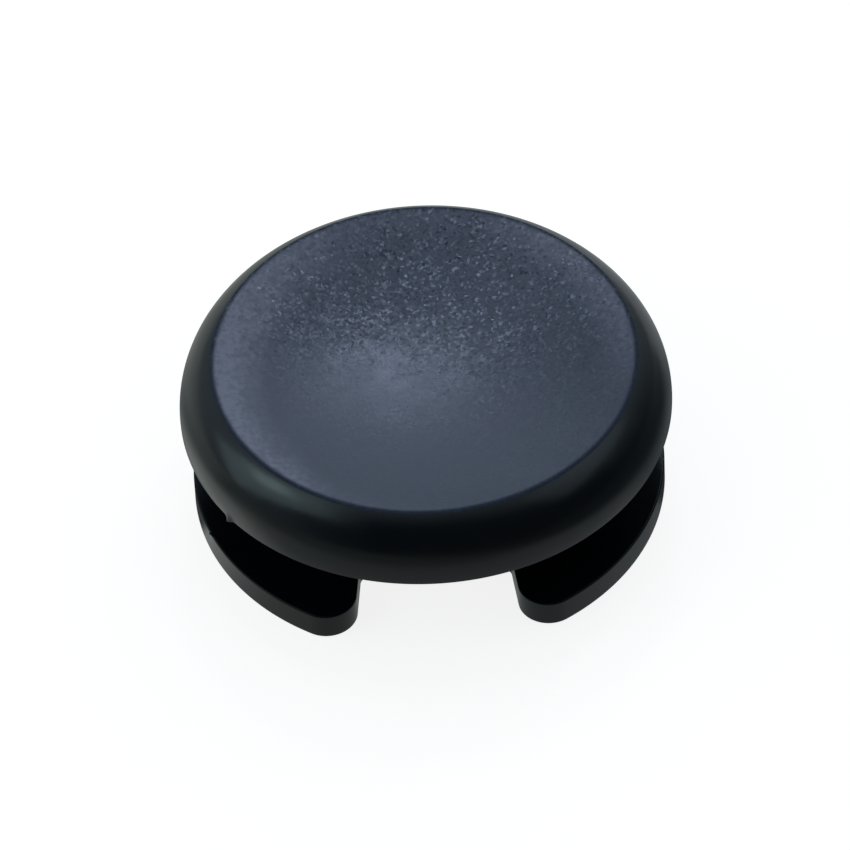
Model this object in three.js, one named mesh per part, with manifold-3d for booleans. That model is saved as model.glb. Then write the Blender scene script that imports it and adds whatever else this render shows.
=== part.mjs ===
// Thumb cap of a handheld console's slide pad: a dished disc on a short neck, with two wings below it
// that catch under the console's shell. It is moulded in one piece of black plastic.
// Millimetres, +Z up. The wings' undersides lie on z = 0 and the neck's axis is the Z axis.
// The notches between the wings face -Y (front) and +Y (back); the wings reach to -X and +X.

import * as THREE from "three";
import { mergeVertices } from "three/addons/utils/BufferGeometryUtils.js";
import Module from "manifold-3d";

// Thumb disc
const CAP_DIAMETER = 16.0;
const RIM_WIDTH = 1.16;
const RIM_ROUND = 2.32;
const RIM_TUCK = 0.165;
const DISH_DEPTH = 0.8;

// Neck, and the groove round it that takes the shell's edge
const NECK_DIAMETER = 8.3;
const GROOVE_HEIGHT = 2.7;
const NECK_HEAD_FILLET = 0.45;
const NECK_FOOT_FILLET = 0.3;

// Wings and the two notches between them
const WING_SPAN = 15.42;
const WING_THICKNESS = 0.95;
const WING_EDGE_ROUND = 0.06;
const WING_TIP_ROUND = 1.0;
const NOTCH_WIDTH = 4.94;
const NOTCH_FLARE_DEGREES = 6.3;
const NOTCH_ROOT_FILLET = 0.38;
const NOTCH_ROOT_LAND = 0.15;

// Blind socket for the slider's stem, open at the base
const SOCKET_LENGTH = 4.4;
const SOCKET_WIDTH = 3.0;
const SOCKET_CORNER_ROUND = 0.4;
const SOCKET_LEAD_IN = 0.35;
const SOCKET_ROOF = 1.4;

// Facets
const TURN_SEGMENTS = 120;
const FINE_STEP = THREE.MathUtils.degToRad(7.5);
const DISH_STEPS = 8;
const EDGE_STEPS = 2;

const PLASTIC = new THREE.MeshStandardMaterial({ color: 0x2b2e33, roughness: 0.55, metalness: 0 });

// Heights and radii that follow from the sizes above
const capRadius = CAP_DIAMETER / 2;
const wingRadius = WING_SPAN / 2;
const neckRadius = NECK_DIAMETER / 2;
const dishRadius = capRadius - RIM_WIDTH;
const footRadius = neckRadius + NECK_FOOT_FILLET;
const rootRadius = footRadius + NOTCH_ROOT_LAND;
const discUnderside = WING_THICKNESS + GROOVE_HEIGHT;
const rimWidestHeight = discUnderside + RIM_TUCK;
const rimTopAngle = Math.acos(1 - RIM_WIDTH / RIM_ROUND);
const rimLowAngle = -Math.asin(RIM_TUCK / RIM_ROUND);
const dishEdgeHeight = rimWidestHeight + RIM_ROUND * Math.sin(rimTopAngle);
const dishBottom = dishEdgeHeight - DISH_DEPTH;
const dishSphereRadius = (dishRadius ** 2 + DISH_DEPTH ** 2) / (2 * DISH_DEPTH);

// Points along a circular arc, both ends included
function arc(centreX, centreY, radius, from, to, step = FINE_STEP) {
  const count = Math.max(1, Math.ceil(Math.abs(to - from) / step - 1e-9));
  return Array.from({ length: count + 1 }, (_, i) => {
    const angle = from + ((to - from) * i) / count;
    return new THREE.Vector2(centreX + radius * Math.cos(angle), centreY + radius * Math.sin(angle));
  });
}

// An outline without points that repeat the one before them
function withoutRepeats(points) {
  return points.filter((point, i) => point.distanceTo(points.at(i - 1)) > 1e-6);
}

// A closed body through a stack of rings with the same number of points, each { z, points }
function loft(rings) {
  const count = rings[0].points.length;
  const positions = rings.flatMap(({ z, points }) => points.flatMap((p) => [p.x, p.y, z]));
  const indices = [];
  for (let level = 0; level < rings.length - 1; level++) {
    for (let i = 0; i < count; i++) {
      const a = level * count + i;
      const b = level * count + ((i + 1) % count);
      indices.push(a, b, b + count, a, b + count, a + count);
    }
  }
  const lastRing = (rings.length - 1) * count;
  for (const [a, b, c] of THREE.ShapeUtils.triangulateShape(rings[0].points, [])) {
    indices.push(a, c, b);
    indices.push(lastRing + a, lastRing + b, lastRing + c);
  }
  const geometry = new THREE.BufferGeometry();
  geometry.setAttribute("position", new THREE.Float32BufferAttribute(positions, 3));
  geometry.setIndex(indices);
  return geometry;
}

// Half section of the disc and neck, from the axis inside the flange up to the axis in the dish
function discAndNeckSection() {
  const sphereCentre = dishBottom + dishSphereRadius;
  const dishHalfAngle = Math.asin(dishRadius / dishSphereRadius);
  const down = -Math.PI / 2;
  return withoutRepeats([
    new THREE.Vector2(0, WING_THICKNESS / 2),
    new THREE.Vector2(footRadius, WING_THICKNESS / 2),
    ...arc(footRadius, WING_THICKNESS + NECK_FOOT_FILLET, NECK_FOOT_FILLET, down, -Math.PI, FINE_STEP * 3),
    ...arc(neckRadius + NECK_HEAD_FILLET, discUnderside - NECK_HEAD_FILLET, NECK_HEAD_FILLET,
      Math.PI, Math.PI / 2, FINE_STEP * 3),
    ...arc(capRadius - RIM_ROUND, rimWidestHeight, RIM_ROUND, rimLowAngle, 0),
    ...arc(capRadius - RIM_ROUND, rimWidestHeight, RIM_ROUND, 0, rimTopAngle),
    ...arc(0, sphereCentre, dishSphereRadius, down + dishHalfAngle, down, dishHalfAngle / DISH_STEPS),
  ]);
}

function discAndNeck() {
  const section = discAndNeckSection();
  section[0].x = 0;
  section.at(-1).x = 0;
  return new THREE.LatheGeometry(section, TURN_SEGMENTS).rotateX(Math.PI / 2);
}

// Centre of a round that lies `offset` to the wing's side of the notch wall, `distance` from the axis
function centreBesideWall(offset, distance) {
  const flare = THREE.MathUtils.degToRad(NOTCH_FLARE_DEGREES);
  const along = new THREE.Vector2(Math.sin(flare), Math.cos(flare));
  const start = new THREE.Vector2(NOTCH_WIDTH / 2, rootRadius)
    .addScaledVector(new THREE.Vector2(Math.cos(flare), -Math.sin(flare)), offset);
  const nearest = start.dot(along);
  const run = Math.sqrt(nearest ** 2 - start.lengthSq() + distance ** 2) - nearest;
  return start.addScaledVector(along, run);
}

// Plan of the flange, drawn in by `inset`: each quarter runs from a wing's middle to a notch's middle,
// round the wing's tip, down the flared notch wall and through the root fillet to the root
function flangeOutline(inset) {
  const flare = THREE.MathUtils.degToRad(NOTCH_FLARE_DEGREES);
  const turnStep = (2 * Math.PI) / TURN_SEGMENTS;
  const tip = centreBesideWall(WING_TIP_ROUND, wingRadius - WING_TIP_ROUND);
  const root = centreBesideWall(-NOTCH_ROOT_FILLET, rootRadius + NOTCH_ROOT_FILLET);
  const quarter = [
    ...arc(0, 0, wingRadius - inset, 0, tip.angle(), turnStep),
    ...arc(tip.x, tip.y, WING_TIP_ROUND - inset, tip.angle(), Math.PI - flare),
    ...arc(root.x, root.y, NOTCH_ROOT_FILLET + inset, -flare, root.angle() - Math.PI, 2 * FINE_STEP),
    ...arc(0, 0, rootRadius - inset, root.angle(), Math.PI / 2, turnStep),
  ];
  const mirrored = (x, y) => quarter.map((p) => new THREE.Vector2(p.x * x, p.y * y));
  return withoutRepeats([
    ...quarter,
    ...mirrored(-1, 1).reverse(),
    ...mirrored(-1, -1),
    ...mirrored(1, -1).reverse(),
  ]);
}

// The flange that carries both wings, with its upper and lower edges rounded a little
function flange() {
  const edge = arc(0, 0, WING_EDGE_ROUND, 0, Math.PI / 2, Math.PI / 2 / EDGE_STEPS)
    .map((p) => ({ inset: WING_EDGE_ROUND - p.y, rise: WING_EDGE_ROUND - p.x }));
  const lower = edge.map(({ inset, rise }) => ({ z: rise, points: flangeOutline(inset) }));
  const upper = edge.map(({ inset, rise }) => ({ z: WING_THICKNESS - rise, points: flangeOutline(inset) }));
  return loft([...lower, ...upper.reverse()]);
}

// Plan of the socket, grown outwards on every side
function socketOutline(grow) {
  const cornerX = SOCKET_LENGTH / 2 - SOCKET_CORNER_ROUND;
  const cornerY = SOCKET_WIDTH / 2 - SOCKET_CORNER_ROUND;
  return [[1, 1], [-1, 1], [-1, -1], [1, -1]].flatMap(([sideX, sideY], corner) => {
    const from = (corner * Math.PI) / 2;
    return arc(sideX * cornerX, sideY * cornerY, SOCKET_CORNER_ROUND + grow, from, from + Math.PI / 2,
      2 * FINE_STEP);
  });
}

// The space that the socket takes out, run past the base so that it opens there
function socketSpace() {
  return loft([
    { z: -SOCKET_LEAD_IN, points: socketOutline(2 * SOCKET_LEAD_IN) },
    { z: SOCKET_LEAD_IN, points: socketOutline(0) },
    { z: dishBottom - SOCKET_ROOF, points: socketOutline(0) },
  ]);
}

const wasm = await Module();
wasm.setup();

// A closed geometry as a solid that can be joined and cut
function solid(geometry) {
  geometry.deleteAttribute("normal");
  geometry.deleteAttribute("uv");
  const merged = mergeVertices(geometry, 1e-5);
  return new wasm.Manifold(new wasm.Mesh({
    numProp: 3,
    vertProperties: Float32Array.from(merged.attributes.position.array),
    triVerts: Uint32Array.from(merged.index.array),
  }));
}

// A solid as a named mesh in the cap's plastic
function namedMesh(name, body) {
  const { vertProperties, triVerts } = body.getMesh();
  const geometry = new THREE.BufferGeometry();
  geometry.setAttribute("position", new THREE.BufferAttribute(vertProperties, 3));
  geometry.setIndex(new THREE.BufferAttribute(triVerts, 1));
  geometry.computeVertexNormals();
  const mesh = new THREE.Mesh(geometry, PLASTIC);
  mesh.name = name;
  return mesh;
}

const cap = new THREE.Group();
cap.name = "slide_pad_cap";
cap.add(namedMesh("thumb_cap", solid(discAndNeck()).add(solid(flange())).subtract(solid(socketSpace()))));

export default cap;
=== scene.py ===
"""Looks of the slide pad's thumb cap: one black plastic moulding with a grained dish, on a pale floor."""

import math

import bmesh
import bpy
from mathutils import Matrix, Vector


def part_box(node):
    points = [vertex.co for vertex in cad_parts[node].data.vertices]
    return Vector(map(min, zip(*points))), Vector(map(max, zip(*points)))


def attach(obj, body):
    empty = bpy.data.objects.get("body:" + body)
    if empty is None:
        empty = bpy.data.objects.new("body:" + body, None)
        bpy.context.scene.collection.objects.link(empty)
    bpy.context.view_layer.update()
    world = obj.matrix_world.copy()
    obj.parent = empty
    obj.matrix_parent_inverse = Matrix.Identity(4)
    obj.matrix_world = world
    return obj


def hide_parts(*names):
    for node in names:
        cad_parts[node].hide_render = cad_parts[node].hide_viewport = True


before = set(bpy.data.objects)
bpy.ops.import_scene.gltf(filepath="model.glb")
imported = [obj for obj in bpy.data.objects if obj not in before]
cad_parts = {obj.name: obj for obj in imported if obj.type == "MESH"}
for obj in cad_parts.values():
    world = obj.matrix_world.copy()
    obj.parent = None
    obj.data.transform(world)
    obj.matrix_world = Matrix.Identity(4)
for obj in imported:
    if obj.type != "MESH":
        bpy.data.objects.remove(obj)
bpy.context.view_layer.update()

NODE = "thumb_cap"
BODY = "root"
MM = 0.001

# Sizes of the cap, in metres. The disc's radius and the height of its dish edge come from the frame.
box_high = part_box(NODE)[1]
CAP_RADIUS = box_high.x
DISH_EDGE_HEIGHT = box_high.z
RIM_WIDTH = 1.16 * MM
RIM_ROUND = 2.32 * MM
RIM_TUCK = 0.165 * MM
DISH_DEPTH = 0.8 * MM
DISH_EDGE_ROUND = 0.25 * MM
DISC_LOWER_ROUND = 0.03 * MM

NECK_RADIUS = 4.15 * MM
NECK_HEAD_FILLET = 0.45 * MM
NECK_FOOT_FILLET = 0.3 * MM

WING_RADIUS = 7.71 * MM
WING_THICKNESS = 0.95 * MM
WING_EDGE_ROUND = 0.06 * MM
WING_TIP_ROUND = 1.0 * MM
NOTCH_HALF_WIDTH = 2.47 * MM
NOTCH_FLARE = math.radians(6.3)
NOTCH_ROOT_FILLET = 0.38 * MM
NOTCH_ROOT_LAND = 0.15 * MM

SOCKET_LENGTH = 4.4 * MM
SOCKET_WIDTH = 3.0 * MM
SOCKET_CORNER_ROUND = 0.4 * MM
SOCKET_LEAD_IN = 0.35 * MM
SOCKET_ROOF = 1.4 * MM

# Steps of the fine mesh
TURN_SEGMENTS = 512
ARC_STEP = math.radians(3)
DISH_RINGS = 48
HOLDING_WIDTH = 0.02 * MM
SHARP_ANGLE = math.radians(28)
ROUNDING_ERROR = 1e-9

# Two specks of flash that the mould left. Azimuth 270 is in front. Each stands out by its reach and leans
# up, or down where lean is below 0. It ends where it would stand out by less than BURR_END of its reach.
DISC_BURR = dict(azimuth=math.radians(215.3), radius=CAP_RADIUS, height=3.66 * MM,
                 reach=0.14 * MM, width=0.12 * MM, lean=-0.8)
WING_BURR = dict(azimuth=math.radians(200.5), radius=WING_RADIUS, height=0.92 * MM,
                 reach=0.09 * MM, width=0.07 * MM, lean=1.0)
BURR_ROOT = 0.04 * MM
BURR_END = 0.01

# Heights and radii that follow
dish_radius = CAP_RADIUS - RIM_WIDTH
foot_radius = NECK_RADIUS + NECK_FOOT_FILLET
root_radius = foot_radius + NOTCH_ROOT_LAND
rim_top_angle = math.acos(1 - RIM_WIDTH / RIM_ROUND)
rim_low_angle = -math.asin(RIM_TUCK / RIM_ROUND)
rim_widest_height = DISH_EDGE_HEIGHT - RIM_ROUND * math.sin(rim_top_angle)
disc_underside = rim_widest_height - RIM_TUCK
dish_bottom = DISH_EDGE_HEIGHT - DISH_DEPTH
dish_sphere_radius = (dish_radius**2 + DISH_DEPTH**2) / (2 * DISH_DEPTH)


def arc(centre, radius, start, end, step=ARC_STEP):
    """Points along a circular arc in a plane, both ends included."""
    count = max(1, math.ceil(abs(end - start) / step - ROUNDING_ERROR))
    angles = [start + (end - start) * i / count for i in range(count + 1)]
    return [Vector((centre[0] + radius * math.cos(a), centre[1] + radius * math.sin(a))) for a in angles]


def corner_round(corner, radius, first_normal, second_normal):
    """A small round over a corner, between the normals of the faces that meet there."""
    middle = (first_normal + second_normal) / 2
    reach = radius / math.cos((first_normal - second_normal) / 2)
    centre = Vector(corner) - reach * Vector((math.cos(middle), math.sin(middle)))
    return arc(centre, radius, first_normal, second_normal, 4 * ARC_STEP)


def dish_edge():
    """The round over the dish's edge, tangent to the rim and to the dish, from the rim inwards."""
    rim_centre = Vector((CAP_RADIUS - RIM_ROUND, rim_widest_height))
    dish_centre = Vector((0, dish_bottom + dish_sphere_radius))
    from_rim = RIM_ROUND - DISH_EDGE_ROUND
    from_dish = dish_sphere_radius + DISH_EDGE_ROUND
    between = dish_centre - rim_centre
    along = (from_rim**2 - from_dish**2 + between.length_squared) / (2 * between.length)
    across = math.sqrt(from_rim**2 - along**2)
    way = between.normalized()
    centre = rim_centre + along * way + across * Vector((way.y, -way.x))
    outward = centre - rim_centre
    inward = dish_centre - centre
    return arc(centre, DISH_EDGE_ROUND, math.atan2(outward.y, outward.x), math.atan2(inward.y, inward.x),
               1.5 * ARC_STEP)


def upper_section(edge):
    """Half section (radius, height) from the neck's foot up over the rim to the round at its top."""
    quarter = math.pi / 2
    foot = arc((foot_radius, WING_THICKNESS + NECK_FOOT_FILLET), NECK_FOOT_FILLET, -quarter, -math.pi,
               3 * ARC_STEP)
    head = arc((NECK_RADIUS + NECK_HEAD_FILLET, disc_underside - NECK_HEAD_FILLET), NECK_HEAD_FILLET,
               math.pi, quarter, 3 * ARC_STEP)
    rim_centre = (CAP_RADIUS - RIM_ROUND, rim_widest_height)
    rim = arc(rim_centre, RIM_ROUND, rim_low_angle, rim_top_angle, ARC_STEP / 2)
    lower_edge = corner_round(rim[0], DISC_LOWER_ROUND, -quarter, rim_low_angle)
    rim = [p for p in rim if p.y > lower_edge[-1].y and p.x > edge[0].x]
    held = [Vector((lower_edge[0].x - step * HOLDING_WIDTH, disc_underside)) for step in (3, 1)]
    return foot + head + held + lower_edge + rim + edge[:1]


def dish_section(edge):
    """Half section of the dish, from the round over its edge to just short of its centre."""
    radii = [edge[-1].x * (1 - i / DISH_RINGS) for i in range(1, DISH_RINGS)]
    return edge[1:] + [Vector((r, dish_height(r))) for r in radii]


def dish_height(radius):
    """Height of the dish's spherical floor at a radius."""
    return dish_bottom + dish_sphere_radius - math.sqrt(dish_sphere_radius**2 - radius**2)


def centre_beside_wall(offset, distance):
    """Centre of a round that lies offset to the wing's side of the notch wall, distance from the axis."""
    along = Vector((math.sin(NOTCH_FLARE), math.cos(NOTCH_FLARE)))
    across = Vector((math.cos(NOTCH_FLARE), -math.sin(NOTCH_FLARE)))
    start = Vector((NOTCH_HALF_WIDTH, root_radius)) + offset * across
    nearest = start.dot(along)
    return start + along * (math.sqrt(nearest**2 - start.length_squared + distance**2) - nearest)


def flange_outline(inset):
    """Plan of the two wings and the notches' roots, drawn in by inset, counter-clockwise."""
    tip = centre_beside_wall(WING_TIP_ROUND, WING_RADIUS - WING_TIP_ROUND)
    root = centre_beside_wall(-NOTCH_ROOT_FILLET, root_radius + NOTCH_ROOT_FILLET)
    tip_angle = math.atan2(tip.y, tip.x)
    root_angle = math.atan2(root.y, root.x)
    turn_step = 2 * math.pi / TURN_SEGMENTS
    quarter = (
        arc((0, 0), WING_RADIUS - inset, 0, tip_angle, turn_step)
        + arc(tip, WING_TIP_ROUND - inset, tip_angle, math.pi - NOTCH_FLARE)
        + arc(root, NOTCH_ROOT_FILLET + inset, -NOTCH_FLARE, root_angle - math.pi, 2 * ARC_STEP)
        + arc((0, 0), root_radius - inset, root_angle, math.pi / 2, turn_step)
    )
    points = []
    for side_x, side_y in ((1, 1), (-1, 1), (-1, -1), (1, -1)):
        run = [Vector((p.x * side_x, p.y * side_y)) for p in quarter]
        points += run if side_x == side_y else reversed(run)
    return [p for i, p in enumerate(points) if (p - points[i - 1]).length > ROUNDING_ERROR]


def socket_outline(grow):
    """Plan of the socket, grown outwards by grow, counter-clockwise."""
    x = SOCKET_LENGTH / 2 - SOCKET_CORNER_ROUND
    y = SOCKET_WIDTH / 2 - SOCKET_CORNER_ROUND
    points = []
    for corner, (side_x, side_y) in enumerate(((1, 1), (-1, 1), (-1, -1), (1, -1))):
        start = corner * math.pi / 2
        points += arc((side_x * x, side_y * y), SOCKET_CORNER_ROUND + grow, start, start + math.pi / 2,
                      3 * ARC_STEP)
    return points


def ring(bm, outline, height):
    """A closed loop of vertices at one height."""
    return [bm.verts.new((p.x, p.y, height)) for p in outline]


def circle(bm, radius, height):
    """A closed loop of vertices round the axis."""
    turn = 2 * math.pi / TURN_SEGMENTS
    angles = [i * turn for i in range(TURN_SEGMENTS)]
    return ring(bm, [Vector((radius * math.cos(a), radius * math.sin(a))) for a in angles], height)


def bridge(bm, loops, material=0):
    """Faces between each loop and the next, which all have the same number of vertices."""
    for first, second in zip(loops, loops[1:]):
        for i in range(len(first)):
            face = bm.faces.new((first[i - 1], first[i], second[i], second[i - 1]))
            face.material_index = material


def loop_edges(loop):
    """Edges of a closed loop of vertices, which all exist."""
    found = []
    for i in range(len(loop)):
        found.append(next(e for e in loop[i].link_edges if e.other_vert(loop[i]) == loop[i - 1]))
    return found


def fill_between(bm, outer, inner):
    """Flat faces between an outer loop and a loop inside it."""
    bmesh.ops.triangle_fill(bm, use_beauty=True, edges=loop_edges(outer) + loop_edges(inner))


def flange_loops(bm):
    """Loops of the flange's edge from the underside up to the wings' tops."""
    edge = arc((0, 0), WING_EDGE_ROUND, 0, math.pi / 2, 5 * ARC_STEP)
    levels = [(WING_EDGE_ROUND + step * HOLDING_WIDTH, 0) for step in (2, 1)]
    levels += [(WING_EDGE_ROUND - p.y, WING_EDGE_ROUND - p.x) for p in edge]
    levels += [(0, 2 * WING_EDGE_ROUND), (0, 3 * WING_EDGE_ROUND)]
    upper = [(inset, WING_THICKNESS - height) for inset, height in reversed(levels)]
    return [ring(bm, flange_outline(inset), height) for inset, height in levels + upper]


def socket_loops(bm):
    """Loops of the socket from the underside up to its flat end."""
    end = dish_bottom - SOCKET_ROOF
    levels = [
        (SOCKET_LEAD_IN + HOLDING_WIDTH, 0),
        (SOCKET_LEAD_IN, 0),
        (0, SOCKET_LEAD_IN),
        (0, end),
        (-HOLDING_WIDTH, end),
    ]
    return [ring(bm, socket_outline(grow), height) for grow, height in levels]


def add_burr(bm, azimuth, radius, height, reach, width, lean):
    """Draws the mesh out into a small burr, outwards and up or down."""
    outward = Vector((math.cos(azimuth), math.sin(azimuth), 0))
    foot = radius * outward + Vector((0, 0, height))
    way = (outward + Vector((0, 0, lean))).normalized()
    for vert in bm.verts:
        nearness = math.exp(-((vert.co - foot).length / width) ** 2)
        if nearness > BURR_END and vert.co.xy.length > radius - BURR_ROOT:
            vert.co += reach * nearness * way


DISH_MATERIAL = 1


def cap_mesh():
    """The whole moulding as one closed mesh. Faces outside the dish have material 0."""
    bm = bmesh.new()
    edge = dish_edge()
    turned = [circle(bm, foot_radius + HOLDING_WIDTH, WING_THICKNESS)]
    turned += [circle(bm, p.x, p.y) for p in upper_section(edge)]
    bridge(bm, turned)
    dish = [turned[-1]] + [circle(bm, p.x, p.y) for p in dish_section(edge)]
    bridge(bm, dish, DISH_MATERIAL)
    centre = bm.verts.new((0, 0, dish_bottom))
    for i in range(TURN_SEGMENTS):
        bm.faces.new((dish[-1][i - 1], dish[-1][i], centre)).material_index = DISH_MATERIAL
    wings = flange_loops(bm)
    bridge(bm, wings)
    socket = socket_loops(bm)
    bridge(bm, socket)
    bm.faces.new(socket[-1])
    fill_between(bm, wings[-1], turned[0])
    fill_between(bm, wings[0], socket[0])
    bmesh.ops.recalc_face_normals(bm, faces=bm.faces)
    add_burr(bm, **DISC_BURR)
    add_burr(bm, **WING_BURR)
    mesh = bpy.data.meshes.new("cap_moulding")
    bm.to_mesh(mesh)
    bm.free()
    mesh.shade_smooth()
    mesh.set_sharp_from_angle(angle=SHARP_ANGLE)
    return mesh


class Nodes:
    """One node tree, with short calls for the nodes that the scene needs."""

    def __init__(self, tree, coordinates="Object"):
        self.tree = tree
        self.place = self.node("ShaderNodeTexCoord").outputs[coordinates]

    def node(self, kind, inputs=(), **settings):
        made = self.tree.nodes.new(kind)
        for key, value in settings.items():
            setattr(made, key, value)
        for key, value in dict(inputs).items():
            self.feed(made.inputs[key], value)
        return made

    def feed(self, socket, value):
        """Links an output to a socket, or sets the socket to a constant."""
        if isinstance(value, bpy.types.NodeSocket):
            self.tree.links.new(value, socket)
        else:
            socket.default_value = value

    def axes(self, vector):
        """The three coordinates of a vector."""
        return self.node("ShaderNodeSeparateXYZ", {"Vector": vector}).outputs

    def span(self, value, low, high, to_low, to_high):
        """A value eased from one range to another, and held at its ends."""
        inputs = {"Value": value, "From Min": low, "From Max": high, "To Min": to_low, "To Max": to_high}
        return self.node("ShaderNodeMapRange", inputs, interpolation_type="SMOOTHSTEP").outputs["Result"]

    def math(self, operation, *values):
        """Several values added, multiplied or compared, one after the other."""
        total = values[0]
        for value in values[1:]:
            total = self.node("ShaderNodeMath", {0: total, 1: value}, operation=operation).outputs[0]
        return total

    def vector(self, operation, first, second=(0, 0, 0), **inputs):
        inputs = {0: first, 1: second, **inputs}
        return self.node("ShaderNodeVectorMath", inputs, operation=operation).outputs[0]

    def distance(self, first, second=(0, 0, 0)):
        inputs = {0: first, 1: second}
        return self.node("ShaderNodeVectorMath", inputs, operation="DISTANCE").outputs["Value"]

    def from_axis(self):
        """The distance of a place from the cap's axis."""
        return self.distance(self.vector("MULTIPLY", self.place, (1, 1, 0)))

    def blend(self, value, first, second):
        """A colour between two, by a value from 0 to 1."""
        pair = [c if isinstance(c, bpy.types.NodeSocket) else (*c, 1) for c in (first, second)]
        inputs = {"Factor": value, 6: pair[0], 7: pair[1]}
        return self.node("ShaderNodeMix", inputs, data_type="RGBA").outputs[2]

    def mix(self, factor, first, second):
        """A shader between two."""
        return self.node("ShaderNodeMixShader", {0: factor, 1: first, 2: second}).outputs[0]

    def add(self, first, second):
        """The light of two shaders together."""
        return self.node("ShaderNodeAddShader", {0: first, 1: second}).outputs[0]

    def by_camera_ray(self, other, seen):
        """One shader where the camera looks straight at it, and another for light and reflections."""
        return self.mix(self.node("ShaderNodeLightPath").outputs["Is Camera Ray"], other, seen)


class Plastic(Nodes):
    """A Principled material under construction."""

    def __init__(self, name):
        self.material = bpy.data.materials.new(name)
        self.material.use_nodes = True
        super().__init__(self.material.node_tree)

    def noise(self, size, detail=2.0):
        """Noise whose features are about size across."""
        inputs = {"Vector": self.place, "Scale": 1 / size, "Detail": detail}
        return self.node("ShaderNodeTexNoise", inputs).outputs["Fac"]

    def facets(self, size, tilt):
        """Small cells: a random colour for each, and a normal that leans another way in each.

        It leans far in a few cells and little in most. The cells' borders are warped by noise.
        """
        middle = (0.5, 0.5, 0.5)
        warp = self.node("ShaderNodeTexNoise", {"Vector": self.place, "Scale": 0.6 / size}).outputs["Color"]
        warp = self.vector("SCALE", self.vector("SUBTRACT", warp, middle), Scale=1.2 * size)
        place = self.vector("ADD", self.place, warp)
        cell = self.node("ShaderNodeTexVoronoi", {"Vector": place, "Scale": 1 / size}).outputs["Color"]
        lean = self.vector("SUBTRACT", cell, middle)
        lean = self.vector("SCALE", lean, Scale=self.math("MULTIPLY", self.distance(lean), tilt))
        normal = self.node("ShaderNodeNewGeometry").outputs["Normal"]
        return cell, self.vector("NORMALIZE", self.vector("ADD", normal, lean))

    def bump(self, height, depth, **inputs):
        """A normal from a height of 0 to 1, depth metres high."""
        inputs = {"Height": height, "Distance": depth, "Strength": 1.0, **inputs}
        return self.node("ShaderNodeBump", inputs).outputs["Normal"]

    def finish(self, **sockets):
        for key, value in sockets.items():
            self.feed(self.tree.nodes["Principled BSDF"].inputs[key.replace("_", " ")], value)
        return self.material


PLASTIC_IOR = 1.5
GLOSS = 0.5

# The satin of the smooth faces
SATIN_COLOURS = ((0.0022, 0.0031, 0.0044), (0.0034, 0.0044, 0.006))
WING_TOP_GLOSS = 0.12


def satin_plastic():
    """The moulding's smooth faces: deep black with a fine, slightly uneven satin.

    The wings' tops and the edges round them are duller than the rest.
    """
    s = Plastic("cap_satin_plastic")
    fine = s.noise(0.06 * MM, detail=3)
    cloud = s.noise(2.5 * MM)
    height = s.axes(s.place)["Z"]
    wing_top = s.math("MULTIPLY", s.span(height, 0.87 * MM, 0.93 * MM, 0, 1),
                      s.span(height, 1.0 * MM, 1.3 * MM, 1, 0))
    waves = s.bump(s.noise(0.8 * MM), 0.004 * MM)
    return s.finish(
        Base_Color=s.blend(cloud, *SATIN_COLOURS),
        Roughness=s.span(cloud, 0.3, 0.7, 0.2, 0.27),
        Normal=s.bump(fine, 0.0007 * MM, Normal=waves),
        IOR=PLASTIC_IOR,
        Specular_IOR_Level=s.span(wing_top, 0, 1, GLOSS, WING_TOP_GLOSS),
    )


# The grain of the dish, with painted glints and painted shade in its specks, and a painted sheen along its
# edge
GRAIN_SIZE = 0.09 * MM
DISH_COLOURS = ((0.025, 0.028, 0.046), (0.027, 0.034, 0.051))
# Besides the grain's own tone, the dark specks are painted shade and the pale specks painted glints
DARK_GRAIN_AND_SHADE = (0.014, 0.017, 0.027)
PALE_GRAIN_AND_GLINT = (0.085, 0.095, 0.125)
# Pale colour of the painted sheen along the dish's edge
PAINTED_SHEEN_COLOUR = (0.150, 0.143, 0.184)
DISH_GLOSS_TINT = (0.87, 0.81, 1.0, 1)
DISH_EDGE_GLOSS = 0.1
SHEEN_CENTRE = (1.0 * MM, -0.5 * MM, 0)


def painted_sheen_crescent(s):
    """A painted sheen on the dish: a pale crescent along its left edge, and less along its right."""
    x, y, _ = s.axes(s.place)
    plan = s.vector("MULTIPLY", s.place, (1, 1, 0))
    uneven = s.math("MULTIPLY", s.noise(1.6 * MM, detail=1), 0.9 * MM)
    reach = s.math("ADD", s.distance(plan, SHEEN_CENTRE), uneven)
    left = s.math("MULTIPLY", s.span(reach, 6.3 * MM, 8.1 * MM, 0, 1),
                  s.span(x, -1.0 * MM, -5.5 * MM, 0.2, 1))
    right = s.math("MULTIPLY", s.span(s.from_axis(), 5.3 * MM, 6.7 * MM, 0, 0.6),
                   s.span(x, 1.5 * MM, 4.5 * MM, 0, 1), s.span(y, -2.8 * MM, 1.5 * MM, 0, 1))
    mottle = s.span(s.noise(0.22 * MM, detail=3), 0.3, 0.7, 0.65, 1.35)
    return s.math("MULTIPLY", s.math("ADD", left, right), mottle)


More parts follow.
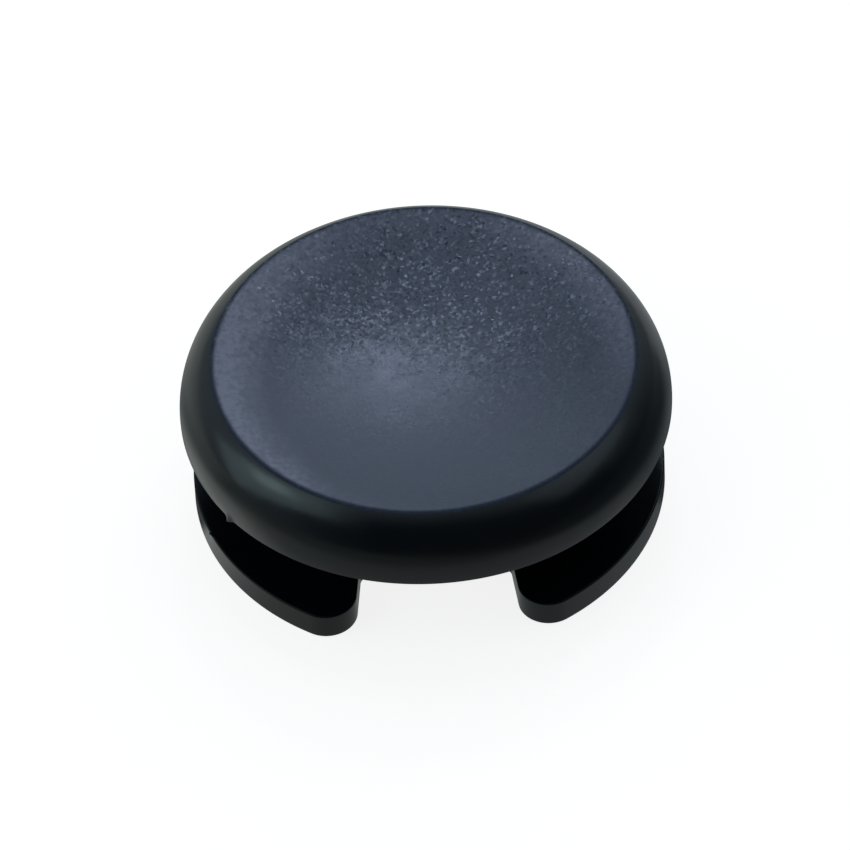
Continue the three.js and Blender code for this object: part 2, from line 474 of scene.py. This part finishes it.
def grained_plastic():
    """The dish: spark-eroded grain, with small facets that catch the light one by one.

    The thumb has rubbed its facets smoother towards the front. Its pale and dark specks, which are painted
    glints and painted shade as well as the grain's own tone, fade out there too. At its edge the gloss and
    the painted sheen fade out, so that it runs softly into the rim.
    """
    s = Plastic("cap_dish_grain")
    cloud = s.noise(1.4 * MM, detail=3)
    x, y, _ = s.axes(s.place)
    inside = s.span(s.from_axis(), dish_radius - 0.18 * MM, dish_radius + 0.06 * MM, 1, 0)
    # Painted sheen: a pale crescent painted into the dish's colour, faded out at its edge
    painted_sheen = s.math("MULTIPLY", painted_sheen_crescent(s), inside)

    kept = s.math("MULTIPLY", s.span(y, -1.5 * MM, 5.5 * MM, 0.25, 1.4),
                  s.span(x, -4.0 * MM, 4.0 * MM, 0.85, 1.25))
    patches = s.span(s.noise(0.7 * MM), 0.35, 0.65, 0.16, 0.36)
    cell, facets = s.facets(GRAIN_SIZE, s.math("MULTIPLY", kept, patches))

    # Painted glints in the pale specks and painted shade in the dark ones, strongest towards the back and
    # faded towards the front
    specks_toward_back = s.span(y, -2.0 * MM, 3.0 * MM, 0.15, 1)
    pale = s.math("MULTIPLY", s.span(cell, 0.62, 0.95, 0, 1), specks_toward_back)
    dark = s.math("MULTIPLY", s.span(cell, 0.33, 0.1, 0, 1), specks_toward_back)
    speckled = s.blend(pale, s.blend(dark, s.blend(cloud, *DISH_COLOURS), DARK_GRAIN_AND_SHADE), PALE_GRAIN_AND_GLINT)
    return s.finish(
        Base_Color=s.blend(painted_sheen, speckled, PAINTED_SHEEN_COLOUR),
        Roughness=s.math("SUBTRACT", s.span(cloud, 0.3, 0.7, 0.56, 0.61), s.math("MULTIPLY", inside, 0.3)),
        Normal=s.bump(s.noise(0.16 * MM), 0.003 * MM, Normal=facets),
        IOR=PLASTIC_IOR,
        Specular_IOR_Level=s.span(inside, 0, 1, DISH_EDGE_GLOSS, GLOSS),
        Specular_Tint=DISH_GLOSS_TINT,
    )


def add_piece(name, mesh, materials):
    piece = bpy.data.objects.new(name, mesh)
    bpy.context.scene.collection.objects.link(piece)
    for material in materials:
        mesh.materials.append(material)
    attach(piece, BODY)
    return piece


# Camera: a long lens well above the front, as the photograph was taken
CAMERA_ELEVATION = math.radians(45.96)
CAMERA_AZIMUTH = math.radians(0.61)
CAMERA_ROLL = math.radians(-2.88)
CAMERA_DISTANCE = 260 * MM
SENSOR_WIDTH = 36.0
IMAGE_WIDTH = 850
PIXELS_PER_MM = 30.84
AIM_HEIGHT = 4.325 * MM
AIM_PIXEL = (425.25, 388.97)


def add_camera():
    focal_pixels = PIXELS_PER_MM * CAMERA_DISTANCE / MM
    data = bpy.data.cameras.new("camera")
    data.sensor_width = SENSOR_WIDTH
    data.lens = focal_pixels / IMAGE_WIDTH * SENSOR_WIDTH
    data.clip_start = 0.01
    data.clip_end = 5.0
    camera = bpy.data.objects.new("camera", data)
    bpy.context.scene.collection.objects.link(camera)
    right_of_centre = (AIM_PIXEL[0] - IMAGE_WIDTH / 2) / focal_pixels
    above_centre = (IMAGE_WIDTH / 2 - AIM_PIXEL[1]) / focal_pixels
    turn = (
        Matrix.Rotation(-CAMERA_AZIMUTH, 4, "Z")
        @ Matrix.Rotation(math.pi / 2 - CAMERA_ELEVATION, 4, "X")
    )
    aim = Vector((0, 0, AIM_HEIGHT))
    place = aim + turn.to_3x3() @ Vector((0, 0, CAMERA_DISTANCE))
    tilt = Matrix.Rotation(-above_centre, 4, "X") @ Matrix.Rotation(right_of_centre, 4, "Y")
    camera.matrix_world = Matrix.Translation(place) @ turn @ Matrix.Rotation(CAMERA_ROLL, 4, "Z") @ tilt
    bpy.context.scene.camera = camera


COOL = (0.70, 0.88, 1.0)
DAYLIGHT = (0.66, 0.90, 0.94)
BRIGHT_DAYLIGHT = (0.66, 0.92, 0.96)
LIGHT_DISTANCE = 400 * MM


def add_softbox(name, azimuth, elevation, width, height, level, colour=COOL, roll=0):
    """A rectangular light that faces the cap. Azimuth 0 is behind the cap, 90 to its right (+X).

    Angles are in degrees and sizes in metres. The level is the brightness of its face.
    """
    data = bpy.data.lights.new(name, "AREA")
    data.shape = "RECTANGLE"
    data.size = width
    data.size_y = height
    data.energy = level * math.pi * width * height
    data.color = colour
    light = bpy.data.objects.new(name, data)
    bpy.context.scene.collection.objects.link(light)
    a, e = math.radians(azimuth), math.radians(elevation)
    direction = Vector((math.sin(a) * math.cos(e), math.cos(a) * math.cos(e), math.sin(e)))
    facing = direction.to_track_quat("Z", "Y").to_matrix().to_4x4()
    place = Matrix.Translation(Vector((0, 0, AIM_HEIGHT)) + LIGHT_DISTANCE * direction)
    light.matrix_world = place @ facing @ Matrix.Rotation(math.radians(roll), 4, "Z")
    light.visible_camera = False


def add_lights():
    """One soft light behind, windows on the left, and small lamps that the grain's facets mirror."""
    add_softbox("back_softbox", 10, 32, 0.30, 0.18, 0.66)
    add_softbox("back_lamp", 4, 47, 0.05, 0.05, 12.5)
    add_softbox("high_lamp", 0, 75, 0.03, 0.03, 15.0)
    add_softbox("left_back_lamp", -24, 60, 0.03, 0.03, 12.5)
    add_softbox("right_high_lamp", 24, 64, 0.03, 0.03, 5.0)
    add_softbox("right_back_lamp", 33, 38, 0.04, 0.10, 6.0)
    add_softbox("right_card", 96, 42, 0.30, 0.20, 0.35)
    add_softbox("left_window", -99, 31, 0.42, 0.20, 0.85, DAYLIGHT, roll=48)
    add_softbox("left_pane", -97, 36, 0.12, 0.08, 1.6, BRIGHT_DAYLIGHT, roll=48)


def add_world():
    """Dim surroundings, darkest towards the camera and the right, and white where the camera sees them."""
    world = bpy.data.worlds.new("surroundings")
    bpy.context.scene.world = world
    world.use_nodes = True
    n = Nodes(world.node_tree, "Generated")
    x, y, z = n.axes(n.place)
    back = n.math("MULTIPLY", n.span(y, 0.1, 0.85, 0.0, 0.3), n.span(x, 0.65, 0.95, 1.0, 0.5))
    left = n.span(x, -0.95, -0.6, 0.2, 0.0)
    rise = n.math("ADD", z, n.math("MINIMUM", y, 0))
    top = n.span(rise, 0.0, 0.95, 0.05, 0.52)
    strength = n.math("ADD", back, left, top)
    dim = n.node("ShaderNodeBackground", {"Color": (*COOL, 1), "Strength": strength})
    white = n.tree.nodes["Background"]
    n.feed(white.inputs["Color"], (1, 1, 1, 1))
    shown = n.by_camera_ray(dim.outputs[0], white.outputs[0])
    n.feed(n.tree.nodes["World Output"].inputs["Surface"], shown)


FLOOR_SIZE = 1.2
FLOOR_GAP = 0.005 * MM
FLOOR_COLOUR = (0.12, 0.12, 0.12, 1)
FLOOR_WARM = (0.93, 1.0, 0.95)
FLOOR_COOL = (0.90, 0.97, 1.0)
FLOOR_SEEN_COLOUR = (0.33, 0.29, 0.27, 1)
FLOOR_WHITE = 0.86
LEFT_PATCH = (-12 * MM, -2 * MM, 0)


def floor_glow(n):
    """How strongly the floor glows for reflections, from place to place.

    The rim and the wings' walls mirror it. It is strongest to the left, fades out on the right and far in
    front, and has painted shade beside the wings, under the disc's edge.
    """
    x, y, _ = n.axes(n.place)
    from_axis = n.from_axis()
    front = n.span(y, -6 * MM, -1 * MM, 0.32, 0.14)
    back = n.span(y, 4 * MM, 11 * MM, 0.0, 0.25)
    right_end = n.math("ADD", x, n.span(y, 3 * MM, 30 * MM, 0.0, -16 * MM))
    near = n.math("MULTIPLY", n.math("ADD", front, back), n.span(right_end, 12 * MM, 17 * MM, 1.0, 0.1))
    left = n.math("MULTIPLY", n.span(x, -22 * MM, -9 * MM, 0.2, 0.0),
                  n.span(y, -25 * MM, -6 * MM, 0.3, 1.0), n.span(y, 2 * MM, 12 * MM, 1.0, 0.2))
    far_back = n.math("MULTIPLY", n.span(y, 12 * MM, 35 * MM, 0.0, 0.25),
                      n.span(x, 8 * MM, 25 * MM, 0.0, 1.0), n.span(x, 30 * MM, 80 * MM, 1.0, 0.0))
    patch = n.span(n.distance(n.place, LEFT_PATCH), 2 * MM, 7.5 * MM, 0.5, 0.0)

    # Painted shade in the floor's glow beside the wings, under the disc's edge
    past_wings = n.span(from_axis, 7.3 * MM, 7.7 * MM, 0.0, 1.0)
    near_disc = n.span(from_axis, 8.2 * MM, 11 * MM, 1.0, 0.0)
    behind = n.span(y, -2.2 * MM, -1.1 * MM, 0.0, 1.0)
    shade = n.span(n.math("MULTIPLY", past_wings, near_disc, behind), 0.0, 1.0, 1.0, 0.15)
    front_fade = n.math("MAXIMUM", n.span(from_axis, 16 * MM, 28 * MM, 1.0, 0.4),
                       n.span(y, -6 * MM, 2 * MM, 0.0, 1.0))
    return n.math("MULTIPLY", n.math("ADD", near, left, far_back, patch), shade, front_fade)


def floor_material():
    """Pale, with the cap's shadow, and white to the camera. For light and reflections it glows, with
    painted shade beside the wings. From below it is clear.
    """
    material = bpy.data.materials.new("floor_pale")
    material.use_nodes = True
    n = Nodes(material.node_tree)
    n.tree.nodes.remove(n.tree.nodes["Principled BSDF"])
    tint = n.blend(n.span(n.axes(n.place)["X"], -7 * MM, 5 * MM, 0.0, 1.0), FLOOR_WARM, FLOOR_COOL)
    glow = n.node("ShaderNodeEmission", {"Color": tint, "Strength": floor_glow(n)}).outputs[0]
    mirrored = n.add(n.node("ShaderNodeBsdfDiffuse", {"Color": FLOOR_COLOUR}).outputs[0], glow)
    white = n.node("ShaderNodeEmission", {"Strength": FLOOR_WHITE}).outputs[0]
    seen = n.add(n.node("ShaderNodeBsdfDiffuse", {"Color": FLOOR_SEEN_COLOUR}).outputs[0], white)
    from_below = n.node("ShaderNodeNewGeometry").outputs["Backfacing"]
    seen = n.mix(from_below, seen, n.node("ShaderNodeBsdfTransparent").outputs[0])
    n.feed(n.tree.nodes["Material Output"].inputs["Surface"], n.by_camera_ray(mirrored, seen))
    return material


def add_floor():
    """A plain pale floor just under the cap."""
    mesh = bpy.data.meshes.new("floor")
    bm = bmesh.new()
    bmesh.ops.create_grid(bm, x_segments=1, y_segments=1, size=FLOOR_SIZE / 2)
    bm.to_mesh(mesh)
    bm.free()
    mesh.materials.append(floor_material())
    floor = bpy.data.objects.new("floor", mesh)
    floor.location.z = -FLOOR_GAP
    bpy.context.scene.collection.objects.link(floor)


add_camera()
cap = add_piece("cap_moulding", cap_mesh(), [satin_plastic(), grained_plastic()])
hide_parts(NODE)
add_lights()
add_world()
add_floor()
bpy.context.scene.view_settings.view_transform = "Standard"
